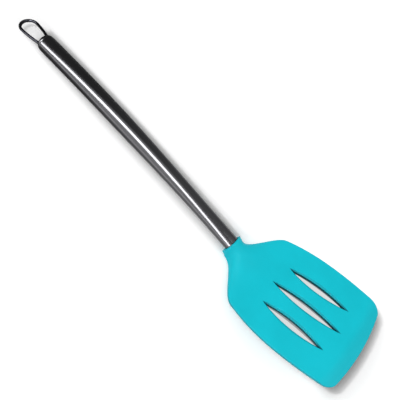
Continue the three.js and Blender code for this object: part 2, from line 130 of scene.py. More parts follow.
class HandleSizes(bpy.types.PropertyGroup):
    """Sizes of the tube, its cap and its loop"""

    handle_length: length("Length", 216.0, "From the collar's rim to the tube's end")
    grip: length("Grip", 14.9, "Diameter of the grip")
    neck: length("Neck", 12.0, "Diameter at the collar")
    wall: length("Wall", 0.7, "Wall of the tube")
    swage_start: length("Swage start", 25.0, "From the rim to where the tube starts to widen")
    swage_length: length("Swage length", 120.0, "Run over which the tube widens")
    bend: turn("Bend", 8.6, "How far the tube bends from end to end")
    clearance: length("Clearance", 0.3, "Gap between neighbouring pieces")
    dome: length("Dome", 3.8, "Height of the cap's dome")
    dome_round: share("Dome round", 0.56, "How early the dome rounds down to the tube")
    skirt: length("Skirt", 5.0, "How deep the cap stands in the tube")
    skirt_wall: length("Skirt wall", 0.6, "Wall of the cap's skirt")
    wire: length("Wire", 2.34, "Diameter of the loop's wire")
    leg_spacing: length("Leg spacing", 8.6, "Between the loop's legs at the cap")
    loop_width: length("Loop width", 16.14, "Across the loop at its widest")
    loop_reach: length("Loop reach", 31.67, "From the tube's end to the loop's far side")
    flare_start: share("Flare start", 0.05, "Reach of the loop's first handle")
    flare_end: share("Flare end", 0.45, "Reach of the loop's second handle")
    leg_depth: length("Leg depth", 6.2, "How deep the legs stand in the cap")
    weld_width: length("Weld width", 1.0, "How far the weld spreads round a leg")
    weld_height: length("Weld height", 2.2, "How far the weld climbs a leg")


class Finishes(bpy.types.PropertyGroup):
    """Colours and polish of the materials"""

    silicone: tint("Silicone", (0.003, 0.530, 0.635), "Turquoise of the silicone")
    silicone_deep: tint("Deep silicone", (0.002, 0.490, 0.587), "Darker tone that clouds the silicone")
    # Painted shade: the dark tone painted on the slots' walls and chamfers, the blade's sides and its bevel
    silicone_painted_shade: tint("Shaded silicone", (0.005, 0.030, 0.040), "Tone deep inside the slots")
    silicone_gloss: share("Silicone gloss", 0.10, "How much the silicone mirrors")
    silicone_roughness: share("Silicone roughness", 0.5, "Roughness of the moulded silicone")
    steel: tint("Steel", (0.158, 0.158, 0.166), "Dark tone of the tube and the cap")
    steel_roughness: share("Steel roughness", 0.16, "Roughness of the polished tube")
    wire: tint("Wire", (0.055, 0.055, 0.068), "Tone of the loop's wire")
    wire_roughness: share("Wire roughness", 0.12, "Roughness of the wire")
    nylon: tint("Nylon", (0.018, 0.018, 0.021), "Black of the core")
    nylon_roughness: share("Nylon roughness", 0.55, "Roughness of the core")


class StageSizes(bpy.types.PropertyGroup):
    """Floor, flags, lamps and camera"""

    floor_width: length("Floor", 6000.0, "Width of the floor")
    floor_tint: tint("Floor tint", (0.96, 0.96, 0.96), "Tone of the floor")
    floor_lift: share("Floor lift", 0.26, "Light that the floor adds where it is looked at")
    # Painted light: the glow that the floor's patches below the slots add where they are looked at
    painted_slot_light: share("Slot lift", 0.65, "Light that the floor adds below the slots where it is looked at")
    world_level: share("World level", 0.80, "Light of the surroundings", top=4.0)
    tent_radius: length("Tent", 1500.0, "Radius of the dark tent that the steel mirrors")
    tent_level: share("Tent level", 0.09, "Tone of the dark tent past the loop")
    wall_level: share("Wall level", 0.90, "Tone of the pale wall on the camera's side")
    flag_dark: share("Flag dark", 0.10, "Tone of the dark flag below the loop's end of the handle")
    key_power: FloatProperty(name="Key", description="Power of the soft key lamp", default=2.8, unit="POWER")
    strip_level: share("Strip level", 9.0, "Tone of the bright strip that lines the tube", top=40.0)
    strip_width: turn("Strip width", 25.0, "Width of the strip as the tube sees it")
    strip_angle: turn("Strip angle", 33.0, "Angle of the strip from upright at its middle")
    lens: FloatProperty(name="Lens", description="Focal length of the camera", default=29.7, unit="CAMERA")
    eye: FloatVectorProperty(
        name="Eye", description="Where the camera stands", default=(0.0490986, -0.1076735, 0.2365807),
        precision=6, subtype="TRANSLATION", unit="LENGTH",
    )
    gaze: FloatVectorProperty(
        name="Gaze", description="How the camera is turned", default=(0.3712248, -0.2872384, 0.7870469),
        precision=6, subtype="EULER", unit="ROTATION",
    )


SMOOTH_ANGLE = math.radians(35.0)
QUARTER_TURN = math.pi / 2.0

# Sides of what is turned, and of the holes in the cap
TURNED_SIDES = 96
HOLE_SIDES = 32

# How near two points are joined in a skin drawn out ring by ring, and in one that is turned
RING_MERGE = 1e-7
TURNED_MERGE = 1e-6

# How far the tube's end and the cap's foot are broken
EDGE_BREAK = 0.15 * MM


# Mesh helpers

def added(name, operator, **settings):
    """What an operator adds, named and selected alone"""
    bpy.ops.object.select_all(action="DESELECT")
    operator(**settings)
    piece = bpy.context.active_object
    piece.name = piece.data.name = name
    return piece


def move_to(vertices, points):
    for vertex, point in zip(vertices, points, strict=True):
        vertex.co = point


def place_selected(piece, points):
    """Moves the selected loop on to the given points, in order"""
    mesh = bmesh.from_edit_mesh(piece.data)
    loop = (vertex for vertex in mesh.verts if vertex.select)
    move_to(sorted(loop, key=lambda vertex: vertex.index), points)
    bmesh.update_edit_mesh(piece.data)


def start_loop(name, points):
    """A closed line through the points, left selected in edit mode"""
    piece = added(name, bpy.ops.mesh.primitive_circle_add, vertices=len(points))
    bpy.ops.object.mode_set(mode="EDIT")
    place_selected(piece, points)
    return piece


def close_skin(threshold):
    """Joins what touches, fills what is open and leaves edit mode"""
    bpy.ops.mesh.select_all(action="SELECT")
    bpy.ops.mesh.remove_doubles(threshold=threshold)
    bpy.ops.mesh.fill_holes(sides=0)
    bpy.ops.mesh.normals_make_consistent(inside=False)
    bpy.ops.object.mode_set(mode="OBJECT")


def extrude_loops(name, rings):
    """A closed skin drawn out of a circle, ring by ring"""
    piece = start_loop(name, rings[0])
    for ring in rings[1:]:
        bpy.ops.mesh.extrude_edges_move()
        place_selected(piece, ring)
    close_skin(RING_MERGE)
    return piece


def spin_profile(name, profile):
    """A closed profile of radius and height, turned about the Z axis"""
    piece = start_loop(name, [Vector((radius, 0.0, height)) for radius, height in profile])
    bpy.ops.mesh.spin(
        steps=TURNED_SIDES, angle=2.0 * math.pi, center=(0.0, 0.0, 0.0), axis=(0.0, 0.0, 1.0),
        use_auto_merge=True,
    )
    close_skin(TURNED_MERGE)
    return piece


def make_active(piece):
    bpy.ops.object.select_all(action="DESELECT")
    piece.select_set(True)
    bpy.context.view_layer.objects.active = piece


def apply_modifier(piece, kind, **settings):
    make_active(piece)
    modifier = piece.modifiers.new(kind.title(), kind)
    for key, value in settings.items():
        setattr(modifier, key, value)
    bpy.ops.object.modifier_apply(modifier=modifier.name)


def cut_away(piece, cutter):
    apply_modifier(piece, "BOOLEAN", operation="DIFFERENCE", solver="EXACT", object=cutter)
    bpy.data.objects.remove(cutter)


def finish_piece(piece, matrix, finish, *nodes):
    """Sets a piece in its place and gives it its material and body, and hides the nodes it stands for"""
    make_active(piece)
    piece.matrix_world = matrix
    bpy.ops.object.transform_apply(location=True, rotation=True, scale=True)
    bpy.ops.object.shade_smooth_by_angle(angle=SMOOTH_ANGLE)
    piece.data.materials.clear()
    piece.data.materials.append(finish)
    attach(piece, "root")
    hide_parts(*nodes)


# Frames of the head and of the handle

def head_frame():
    """From the level blade to the way the turner lies, read from the record's mount"""
    mount = next(m for m in frame["record"]["mounts"] if m["name"] == BLADE_MOUNT)
    normal = Vector(mount["axis"])
    tip = Matrix.Rotation(-math.atan2(-normal.x, normal.z), 4, "Y")
    return Matrix.Translation(Vector(mount["pos_m"]) - tip @ MOUNT_PLACE) @ tip


def axis_frame(slope, place):
    """From a piece modelled along +Z to an axis that rises at a slope behind the level blade"""
    return Matrix((
        (0.0, math.sin(slope), -math.cos(slope), place[0]),
        (-1.0, 0.0, 0.0, 0.0),
        (0.0, math.cos(slope), math.sin(slope), place[1]),
        (0.0, 0.0, 0.0, 1.0),
    ))


def handle_place(along):
    """Frame of the handle's bent axis at a distance from the collar's rim"""
    head = bpy.context.scene.turner_head
    handle = bpy.context.scene.turner_handle
    radius = handle.handle_length / handle.bend
    slope = head.neck_angle - along / radius
    back = radius * (math.sin(head.neck_angle) - math.sin(slope))
    rise = radius * (math.cos(slope) - math.cos(head.neck_angle))
    return head_frame() @ axis_frame(slope, (-back, head.collar_height + rise))


def handle_radius(along):
    handle = bpy.context.scene.turner_handle
    swage = smooth(along, handle.swage_start, handle.swage_start + handle.swage_length)
    return blend(handle.neck, handle.grip, swage) / 2.0


# Form of the head

def blend(low, high, amount):
    return low + (high - low) * amount


def spread(start, end, steps):
    """Numbers at even steps from a start to an end, with both"""
    return [blend(start, end, step / steps) for step in range(steps + 1)]


def smooth(value, low, high):
    amount = min(1.0, max(0.0, (value - low) / (high - low)))
    return amount * amount * (3.0 - 2.0 * amount)


def bezier(points, amount):
    rest = 1.0 - amount
    weights = (rest ** 3, 3.0 * rest * rest * amount, 3.0 * rest * amount * amount, amount ** 3)
    return sum((point * weight for point, weight in zip(points, weights)), Vector((0.0, 0.0)))


class HeadForm:
    """The head's surface, with the blade level and x forward from the collar's rim"""

    HEEL_SHARE = 0.2
    HEEL_FLAT = (1.0 / 6.0, 1.0 / 4.0)
    COLLAR_CROWN = 0.5
    RIDGE_CROWN = 1.5
    COLLAR_FLOOR = 0.22
    RIDGE_FLOOR = 0.5
    ROUND_SHARE = 0.35
    BOW_FROM = 0.5
    NOSE_TAPER = 0.004
    BEVEL_EASE = 1.4
    BEVEL_BREAK = 0.97
    HALVINGS = 48

    def __init__(self, sizes, handle):
        self.sizes = sizes
        self.collar_radius = handle.neck / 2.0 + handle.clearance + sizes.collar_wall
        self.half_thickness = sizes.thickness / 2.0
        down = Vector((math.cos(sizes.neck_angle), -math.sin(sizes.neck_angle)))
        up = Vector((math.sin(sizes.neck_angle), math.cos(sizes.neck_angle)))
        rim = Vector((0.0, sizes.collar_height))
        top = rim + up * self.collar_radius
        self.rim_bottom = rim - up * self.collar_radius
        run = (self.rim_bottom.y + self.half_thickness) / math.sin(sizes.neck_angle)
        self.heel = self.rim_bottom + down * run
        self.ridge = (
            top,
            top + down * sizes.ridge_start,
            Vector((sizes.neck_fade - sizes.ridge_end, self.half_thickness)),
            Vector((sizes.neck_fade, self.half_thickness)),
        )
        slope = (sizes.width - sizes.shoulder_width) / (sizes.widest_at - sizes.shoulder_at)
        shoulder = sizes.shoulder_width / 2.0
        self.flare = (
            Vector((0.0, self.collar_radius)),
            Vector((sizes.flare_start, self.collar_radius - sizes.rim_dip)),
            Vector((sizes.shoulder_at - sizes.flare_end, shoulder - sizes.flare_end * slope)),
            Vector((sizes.shoulder_at, shoulder)),
        )

    def underside(self, along):
        start, end = self.HEEL_FLAT
        if start < along < end:
            return self.underside(start).lerp(self.underside(end), (along - start) / (end - start))
        if along < self.HEEL_SHARE:
            return self.rim_bottom.lerp(self.heel, along / self.HEEL_SHARE)
        root = Vector((self.sizes.neck_fade, -self.half_thickness))
        return self.heel.lerp(root, (along - self.HEEL_SHARE) / (1.0 - self.HEEL_SHARE))

    def flare_width(self, at):
        low, high = 0.0, 1.0
        for _ in range(self.HALVINGS):
            middle = (low + high) / 2.0
            if bezier(self.flare, middle).x < at:
                low = middle
            else:
                high = middle
        return bezier(self.flare, low).y

    def half_width(self, at):
        sizes = self.sizes
        if at <= 0.0:
            return self.collar_radius
        if at < sizes.shoulder_at:
            return self.flare_width(at)
        rear = at < sizes.widest_at
        end = sizes.shoulder_width if rear else sizes.front_width
        run = sizes.widest_at - sizes.shoulder_at if rear else sizes.head_length - sizes.widest_at
        return (sizes.width - (sizes.width - end) * ((at - sizes.widest_at) / run) ** 2) / 2.0

    def bow(self, across):
        return self.sizes.front_bow * (across / (self.sizes.front_width / 2.0)) ** 2

    def section(self, half, rounding, place, round_steps=6, steps=22):
        """One ring: upper side from +y to -y, lower side back from -y to +y"""
        right = []
        for angle in spread(0.0, QUARTER_TURN, round_steps)[:-1]:
            right.append((half - rounding * (1.0 - math.cos(angle)), 1.0 - math.sin(angle)))
        for angle in spread(0.0, QUARTER_TURN, steps):
            right.append(((half - rounding) * math.cos(angle), 0.0))
        row = right + [(-across, drop) for across, drop in reversed(right[:-1])]
        upper = [place(across, drop, True) for across, drop in row]
        lower = [place(across, drop, False) for across, drop in reversed(row)]
        return upper + lower

    def neck_section(self, along):
        sizes = self.sizes
        top = bezier(self.ridge, along)
        bottom = self.underside(along)
        centre = (top + bottom) / 2.0
        up = (top - bottom).normalized()
        spread = smooth(along, 0.0, self.HEEL_SHARE)
        flatness = smooth(along, self.HEEL_SHARE, 1.0)
        height = (top - bottom).length / 2.0
        edge_top = blend(sizes.parting_land / 2.0, sizes.thickness - height, spread)
        edge_bottom = blend(-sizes.parting_land / 2.0, -height, spread)
        half = self.half_width(centre.x + up.x * (edge_top + edge_bottom) / 2.0)
        rounding = min(sizes.edge_round, self.ROUND_SHARE * sizes.thickness)
        crown = blend(self.COLLAR_CROWN, self.RIDGE_CROWN, flatness)
        belly = blend(self.COLLAR_FLOOR, self.RIDGE_FLOOR, spread)

        def place(across, drop, is_upper):
            rise = max(0.0, 1.0 - (across / half) ** 2)
            lowered = drop * rounding * spread
            if is_upper:
                offset = edge_top + (height - edge_top) * rise ** crown - lowered
            else:
                offset = edge_bottom - (height + edge_bottom) * rise ** belly + lowered
            return Vector((centre.x + up.x * offset, across, centre.y + up.y * offset))

        return self.section(half, rounding, place)

    def blade_section(self, at, nose=1.0):
        """A ring across the blade; nose is the share of the lip's thickness that is left"""
        sizes = self.sizes
        front = sizes.head_length
        corner = min(1.0, (front - at) / sizes.corner_radius)
        loss = sizes.corner_radius * (1.0 - math.sqrt(1.0 - (1.0 - corner) ** 2))
        bowing = smooth(at, front * self.BOW_FROM, front - sizes.corner_radius)
        half = self.half_width(at) - loss
        slope = max(0.0, 1.0 - (front - at) / sizes.bevel) ** self.BEVEL_EASE
        bottom = -self.half_thickness
        top = self.half_thickness - slope * (sizes.thickness - sizes.lip)
        middle = (top + bottom) / 2.0
        rounding = min(sizes.edge_round, self.ROUND_SHARE * (top - bottom))

        def place(across, drop, is_upper):
            height = top - drop * rounding if is_upper else bottom + drop * rounding
            height = blend(middle, height, nose)
            drawn_in = 1.0 - self.NOSE_TAPER * (1.0 - nose)
            return Vector((at - self.bow(across) * bowing, across * drawn_in, height))

        return self.section(half, rounding, place)

    def sections(self):
        sizes = self.sizes
        rings = [self.neck_section(along) for along in spread(0.0, 1.0, steps=40)[:-1]]
        straight = sizes.head_length - sizes.corner_radius
        stations = spread(sizes.neck_fade, straight, steps=26)[:-1]
        nose = self.ROUND_SHARE * sizes.lip
        for angle in spread(0.0, QUARTER_TURN, steps=18):
            stations.append(sizes.head_length - sizes.corner_radius * (1.0 - math.sin(angle)))
        stations += [sizes.head_length - sizes.bevel * ease for ease in (1.0, self.BEVEL_BREAK)]
        stations = sorted(station for station in stations if station < sizes.head_length - nose)
        rings += [self.blade_section(station) for station in stations]
        land = 1.0 - 2.0 * self.ROUND_SHARE
        for angle in spread(0.0, QUARTER_TURN, steps=6):
            at = sizes.head_length - nose * (1.0 - math.sin(angle))
            rings.append(self.blade_section(at, land + (1.0 - land) * math.cos(angle)))
        rings.append(self.blade_section(sizes.head_length, 0.0))
        return rings


def slot_cutter(sizes, side):
    """A pointed slot, wider at both faces by its chamfers"""
    plain = sizes.middle_slot if side == 0 else sizes.side_slot
    wide = sizes.slot_width
    half = sizes.thickness / 2.0
    beyond = half + sizes.chamfer
    under = (plain + 2.0 * sizes.under_chamfer, wide + 2.0 * sizes.under_chamfer)
    over = (plain + 2.0 * sizes.tip_chamfer, wide + 2.0 * sizes.chamfer_width)
    levels = [
        (*under, -beyond),
        (*under, -half),
        (plain, wide, sizes.under_chamfer - half),
        (plain, wide, half - sizes.chamfer),
        (*over, half),
        (*over, beyond),
    ]
    return extrude_loops("slot cutter", [slot_ring(sizes, side, *level) for level in levels])


def slot_ring(sizes, side, lens, breadth, height):
    """The outline of a slot at one height: two equal arcs"""
    steps = 40
    ring = []
    for step in range(2 * steps):
        way = 1.0 if step < steps else -1.0
        along = 1.0 - 2.0 * (step % steps) / steps
        ring.append(Vector((
            sizes.slot_at + way * along * lens / 2.0,
            side * sizes.slot_pitch - sizes.slot_shift + way * (1.0 - along ** 2) * breadth / 2.0,
            height,
        )))
    return ring


# Materials

# Features to the metre, along each axis of the piece where they are drawn out
CLOUDS = 45.0
SHEEN = 260.0
STIPPLE = 3200.0
GRAIN = 1800.0
DRAWN_LINES = (25.0, 2600.0, 2600.0)
DRAWN_CLOUDS = (12.0, 900.0, 900.0)

# Where the noise lies mostly, and how much darker the steel's clouds are
NOISE_RUN = (0.3, 0.7)
CLOUD_TONE = 0.86

SILICONE_IOR = 1.41

# How far a finish's roughness varies, and how strong and how deep its relief is
SILICONE_TOUCH = ((-0.05, 0.05), 0.12, 0.08 * MM)
STEEL_TOUCH = ((-0.03, 0.04), 0.05, 0.02 * MM)
NYLON_TOUCH = ((-0.08, 0.08), 0.2, 0.05 * MM)


def add(tree, kind, inputs=(), **settings):
    """A node whose inputs, by name or number, take a value or another node's output"""
    node = tree.nodes.new("ShaderNode" + kind)
    for name, value in settings.items():
        setattr(node, name, value)
    for key, value in dict(inputs).items():
        if isinstance(value, bpy.types.NodeSocket):
            tree.links.new(value, node.inputs[key])
        else:
            node.inputs[key].default_value = value
    return node


def maths(tree, operation, *values):
    return add(tree, "Math", enumerate(values), operation=operation).outputs["Value"]


def mapped(tree, value, run, levels=(0.0, 1.0), kind="LINEAR"):
    """Carries a value from one run of numbers over to another"""
    ends = zip(("From Min", "From Max", "To Min", "To Max"), (*run, *levels))
    return add(tree, "MapRange", [("Value", value), *ends], interpolation_type=kind).outputs["Result"]


def tinted(tree, value, *tones):
    """A tone between two, each a colour or another node's output"""
    one, other = (tone if isinstance(tone, bpy.types.NodeSocket) else (*tone, 1.0) for tone in tones)
    inputs = {"Factor": value, "A": one, "B": other}
    return add(tree, "Mix", inputs, data_type="RGBA").outputs["Result"]


def noise(tree, scale, detail=2.0):
    """Noise in the piece's own space; a scale of three numbers draws it out"""
    stretch, scale = ((1.0, 1.0, 1.0), scale) if isinstance(scale, float) else (scale, 1.0)
    place = add(tree, "TexCoord").outputs["Object"]
    mapping = add(tree, "Mapping", {"Vector": place, "Scale": stretch})
    inputs = {"Vector": mapping.outputs["Vector"], "Scale": scale, "Detail": detail}
    return add(tree, "TexNoise", inputs).outputs["Fac"]


def new_finish(name, base, roughness, metallic=0.0):
    material = bpy.data.materials.new(name)
    material.use_nodes = True
    shader = material.node_tree.nodes["Principled BSDF"]
    shader.inputs["Base Color"].default_value = (*base, 1.0)
    shader.inputs["Roughness"].default_value = roughness
    shader.inputs["Metallic"].default_value = metallic
    return material, shader


def textured(tree, shader, tone, rough, sheen, relief, touch):
    """Gives a finish its tone, a roughness that noise varies and a fine relief"""
    changes, strength, depth = touch
    bump = add(tree, "Bump", {"Height": relief, "Strength": strength, "Distance": depth})
    roughness = mapped(tree, sheen, NOISE_RUN, [rough + change for change in changes])
    tree.links.new(roughness, shader.inputs["Roughness"])
    tree.links.new(bump.outputs["Normal"], shader.inputs["Normal"])
    if tone:
        tree.links.new(tone, shader.inputs["Base Color"])


def silicone_finish():
    """Satin moulded silicone, a little cloudy in colour, finely stippled, with painted shade in its slots
    and on its edges
    """
    finishes = bpy.context.scene.turner_finishes
    rough = finishes.silicone_roughness
    material, shader = new_finish("turquoise silicone", finishes.silicone, rough)
    tree = material.node_tree
    clouds = mapped(tree, noise(tree, CLOUDS), NOISE_RUN)
    plain = tinted(tree, clouds, finishes.silicone, finishes.silicone_deep)
    # Painted shade, read from the face corner attribute, darkens the tone
    shade = add(tree, "Attribute", attribute_name=PAINTED_SHADE).outputs["Fac"]
    tone = tinted(tree, shade, plain, finishes.silicone_painted_shade)
    shader.inputs["IOR"].default_value = SILICONE_IOR
    shader.inputs["Specular IOR Level"].default_value = finishes.silicone_gloss
    stipple = noise(tree, STIPPLE, detail=3.0)
    textured(tree, shader, tone, rough, noise(tree, SHEEN), stipple, SILICONE_TOUCH)
    return material


def steel_finish(name, kind):
    """Polished steel with faint drawing lines along the handle"""
    finishes = bpy.context.scene.turner_finishes
    base, rough = getattr(finishes, kind), getattr(finishes, kind + "_roughness")
    material, shader = new_finish(name, base, rough, metallic=1.0)
    tree = material.node_tree
    lines = noise(tree, DRAWN_LINES, detail=3.0)
    clouds = mapped(tree, noise(tree, DRAWN_CLOUDS), NOISE_RUN)
    tone = tinted(tree, clouds, base, [channel * CLOUD_TONE for channel in base])
    textured(tree, shader, tone, rough, lines, lines, STEEL_TOUCH)
    return material


def nylon_finish():
    """Black glass-filled nylon with a fine grain"""
    finishes = bpy.context.scene.turner_finishes
    rough = finishes.nylon_roughness
    material, shader = new_finish("black nylon", finishes.nylon, rough)
    tree = material.node_tree
    grain = noise(tree, GRAIN, detail=4.0)
    textured(tree, shader, None, rough, grain, grain, NYLON_TOUCH)
    return material


# Operators

# How upright a face's normal is on level ground, on a slot's wall and round the blade's sides
LEVEL = 0.95
WALL = 0.2
SIDES = (0.3, 0.8)

# Painted shade: how dark the slots' walls, their chamfers, the chamfers' tips, the blade's sides and its
# bevel are painted
WALL_SHADE = 0.85
CHAMFER_SHADE = 0.25
TIP_SHADE = 0.6
SIDE_SHADE = 0.4
BEVEL_SHADE = 0.10

# Where the last three painted shades set in
TIP_START = 0.7
SIDE_START = 0.4
BEVEL_RUN = (1.3, 0.6)


class TURNER_OT_head(bpy.types.Operator):
    """Model the silicone head: collar, neck, ridge and slotted blade"""

    bl_idname = "turner.head"
    bl_label = "Silicone Head"

    def execute(self, context):
        sizes = context.scene.turner_head
        handle = context.scene.turner_handle
        piece = extrude_loops("turner_head", HeadForm(sizes, handle).sections())
        for side in (-1, 0, 1):
            cut_away(piece, slot_cutter(sizes, side))
        bore = added(
            "socket cutter", bpy.ops.mesh.primitive_cylinder_add,
            vertices=TURNED_SIDES,
            radius=handle.neck / 2.0 + handle.clearance,
            depth=2.0 * sizes.socket_depth,
        )
        bore.matrix_world = axis_frame(sizes.neck_angle, (0.0, sizes.collar_height))
        cut_away(piece, bore)
        self.shade(piece, sizes)
        finish_piece(piece, head_frame(), silicone_finish(), "silicone_head")
        return {"FINISHED"}

    def shade(self, piece, sizes):
        """Paints shade on each face corner: most on the slots' walls, less on their chamfers, sides and
        bevel
        """
        mesh = piece.data
        attribute = mesh.attributes.new(PAINTED_SHADE, "FLOAT", "CORNER")
        reach = sizes.middle_slot / 2.0 + sizes.tip_chamfer
        side = sizes.slot_pitch + sizes.slot_width
        bevel_start, bevel_end = (sizes.head_length - ease * sizes.bevel for ease in BEVEL_RUN)
        for face in mesh.polygons:
            centre, tilt = face.center, abs(face.normal.z)
            in_slot = abs(centre.x - sizes.slot_at) < reach and abs(centre.y) < side and tilt < LEVEL
            middle = abs(centre.y + sizes.slot_shift) < sizes.slot_pitch / 2.0
            half = (sizes.middle_slot if middle else sizes.side_slot) / 2.0
            # Painted shade round the blade's sides, set in past the flare
            rim = SIDE_SHADE * (1.0 - smooth(tilt, *SIDES))
            rim *= smooth(centre.x, SIDE_START * sizes.shoulder_at, sizes.shoulder_at)
            for corner in face.loop_indices:
                at = mesh.vertices[mesh.loops[corner].vertex_index].co.x
                # Painted shade along the bevel outside the slots, and on the walls and chamfers inside them
                if not in_slot:
                    value = max(rim, BEVEL_SHADE * smooth(at, bevel_start, bevel_end))
                elif tilt < WALL:
                    value = WALL_SHADE
                else:
                    tip = smooth(abs(at - sizes.slot_at), TIP_START * half, half)
                    value = blend(CHAMFER_SHADE, TIP_SHADE, tip)
                attribute.data[corner].value = value


class TURNER_OT_handle(bpy.types.Operator):
    """Model the steel tube: swaged towards the head and slightly bent"""

    bl_idname = "turner.handle"
    bl_label = "Steel Handle"

    def execute(self, context):
        sizes = context.scene.turner_handle
        start = sizes.clearance - context.scene.turner_head.socket_depth
        outer = [(handle_radius(along), along) for along in spread(start, sizes.handle_length, steps=48)]
        inner = [(radius - sizes.wall, along) for radius, along in reversed(outer)]
        radius, end = outer.pop()
        outer += [(radius, end - EDGE_BREAK), (radius - EDGE_BREAK, end)]
        piece = spin_profile("steel_handle", outer + inner)
        limits = (-start / (sizes.handle_length - start), 1.0)
        apply_modifier(
            piece, "SIMPLE_DEFORM", deform_method="BEND", deform_axis="X", angle=-sizes.bend, limits=limits
        )
        finish_piece(piece, handle_place(0.0), steel_finish("polished steel", "steel"), "handle_tube")
        return {"FINISHED"}


class TURNER_OT_cap(bpy.types.Operator):
    """Model the domed cap that closes the tube, with its skirt and the holes for the loop"""

    bl_idname = "turner.cap"
    bl_label = "Domed Cap"

    FOOT_SHARE = 0.4
    CROWN_WALL = 1.6
    POLE = 0.0001

    def execute(self, context):
        sizes = context.scene.turner_handle
        grip = sizes.grip / 2.0
        base = sizes.clearance
        edge = EDGE_BREAK
        skirt = grip - sizes.wall - sizes.clearance
        bore = skirt - sizes.skirt_wall
        hollow = sizes.dome - self.CROWN_WALL * sizes.skirt_wall
        profile = self.dome_line(sizes, grip - self.FOOT_SHARE * edge, sizes.dome - edge, base + edge)
        profile += [(grip - edge, base), (skirt, base)]
        profile += [(skirt, base - sizes.skirt), (bore, base - sizes.skirt)]
        profile += reversed(self.dome_line(sizes, bore, hollow, base))
        piece = spin_profile("domed_cap", profile)
        for side in (-1, 1):
            cut_away(piece, added(
                "leg cutter", bpy.ops.mesh.primitive_cylinder_add,
                vertices=HOLE_SIDES,
                radius=(sizes.wire + sizes.clearance) / 2.0,
                depth=sizes.dome,
                location=(side * sizes.leg_spacing / 2.0, 0.0, base + sizes.dome),
            ))
        finish = steel_finish("polished cap steel", "steel")
        finish_piece(piece, handle_place(sizes.handle_length), finish, "end_cap")
        return {"FINISHED"}

    def dome_line(self, sizes, radius, height, foot):
        """Radii and heights from the dome's crown down to its foot"""
        line = []
        for angle in spread(self.POLE, QUARTER_TURN, steps=24):
            rise = height * max(0.0, math.cos(angle)) ** sizes.dome_round
            line.append((radius * math.sin(angle) ** sizes.dome_round, foot + rise))
        return line


class TURNER_OT_loop(bpy.types.Operator):
    """Model the wire loop with the welds round its legs"""

    bl_idname = "turner.loop"
    bl_label = "Wire Loop"

    WELD_ROOT = -0.8

    def execute(self, context):
        sizes = context.scene.turner_handle
        piece = extrude_loops("wire_loop", self.rings(sizes))
        finish = steel_finish("polished wire", "wire")
        finish_piece(piece, handle_place(sizes.handle_length), finish, "hanging_loop")
        return {"FINISHED"}

    def rings(self, sizes):
        """Rings round the wire: up one leg, round the far end and back down the other leg"""
        radius = sizes.wire / 2.0
        half = (sizes.loop_width - sizes.wire) / 2.0
        leg = sizes.leg_spacing / 2.0
        far = sizes.loop_reach - radius - half
        curve = (
            Vector((leg, sizes.dome)),
            Vector((leg, blend(sizes.dome, far, sizes.flare_start))),
            Vector((half, blend(far, sizes.dome, sizes.flare_end))),
            Vector((half, far)),
        )
        line = [Vector((leg, along)) for along in spread(-sizes.leg_depth, sizes.dome, steps=8)[:-1]]
        line += [bezier(curve, amount) for amount in spread(0.0, 1.0, steps=24)[:-1]]
        for angle in spread(0.0, QUARTER_TURN, steps=16)[:-1]:
            line.append(Vector((half * math.cos(angle), far + half * math.sin(angle))))
        line.append(Vector((0.0, far + half)))
        line += [Vector((-point.x, point.y)) for point in reversed(line[:-1])]
        rings = []
        for index, point in enumerate(line):
            before = line[max(index - 1, 0)]
            after = line[min(index + 1, len(line) - 1)]
            way = (after - before).normalized()
            side = Vector((way.y, -way.x))
            girth = radius + self.weld(sizes, point)
            ring = []
            for angle in spread(0.0, 2.0 * math.pi, steps=24)[:-1]:
                out = side * (girth * math.cos(angle))
                rise = sizes.clearance + point.y + out.y
                ring.append(Vector((point.x + out.x, girth * math.sin(angle), rise)))
            rings.append(ring)
        return rings

    def weld(self, sizes, point):
        """How much thicker the wire is at a point, for the weld that climbs its leg"""
        above = (point.y - sizes.dome) / sizes.weld_height
        if not self.WELD_ROOT <= above <= 1.0:
            return 0.0
        return sizes.weld_width * (1.0 - max(0.0, above)) ** 2


class TURNER_OT_core(bpy.types.Operator):
    """Finish the nylon core that stiffens the head"""

    bl_idname = "turner.core"
    bl_label = "Nylon Core"

    def execute(self, context):
        core = frame["nodes"]["nylon_core"]
        core.data.materials.clear()
        core.data.materials.append(nylon_finish())
        return {"FINISHED"}


# Stage, in metres. The handle lies along -X and the head towards +X

FLOOR_ROUGHNESS = 0.9

# Where the floor's lift fades out, leaving painted shadow: beside the handle, before the head, behind the
# loop
LIFT_MIDDLE = 0.007
LIFT_SIDES = (0.009, 0.019)
LIFT_HEAD = (0.070, 0.090)
LIFT_LOOP = (-0.190, -0.230)

# The oval of painted shadow before the front edge, where less of the lift is left
OVAL_PLACE = (0.203, 0.018)
OVAL_REACH = (0.018, 0.044)
OVAL_RUN = (0.7, 1.5)
OVAL_LEFT = 0.3

# The painted light that falls through a slot: its patch's level, width and distance off the slot's middle
PATCH_LEVEL = 0.2 * MM
PATCH_WIDTH = 3.9 * MM
PATCH_SHIFT = 1.9 * MM

# The cards that shade the floor: their level, how much light they stop, and how far each is
# shifted, narrowed and drawn out from what the camera sees of the head and the handle
SHADE_LEVEL = 4.0 * MM
SHADE_DEPTH = 0.85
HEAD_SHIFT = (7.3 * MM, -0.3 * MM)
HEAD_MIDDLE = 13.0 * MM
HEAD_SHARE = 0.98
HANDLE_SHIFT = 4.0 * MM
HANDLE_SHARE = 0.95
HANDLE_REACH = 14.0 * MM

KEY_PLACE = (-0.27, -0.42, 0.84)
KEY_TARGET = (0.06, 0.0, 0.01)
KEY_SIZE = 0.35

